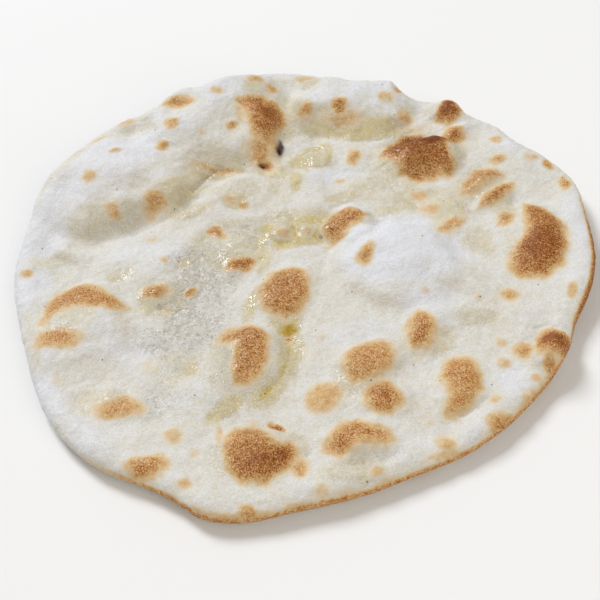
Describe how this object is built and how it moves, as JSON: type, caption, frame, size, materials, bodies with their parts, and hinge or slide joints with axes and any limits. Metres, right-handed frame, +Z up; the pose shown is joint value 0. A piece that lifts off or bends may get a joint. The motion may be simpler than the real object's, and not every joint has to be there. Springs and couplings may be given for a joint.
{
  "type": "naan bread",
  "caption": "Round leavened flatbread with puffed pillows, browned blisters and a rounded edge, lying flat.",
  "frame": {"origin": "middle of the bread's footprint, at the height of its flat underside", "axes": "+Z up through the thickness; +Y towards the far side, where the two long pillows are; +X to the right"},
  "size_m": [0.275, 0.2751, 0.0237],
  "materials": {
    "crust": "baked white dough, matt with a thin butter gloss, browned on the blisters"
  },
  "bodies": {
    "root": {"naan": "crust"}
  },
  "joints": []
}
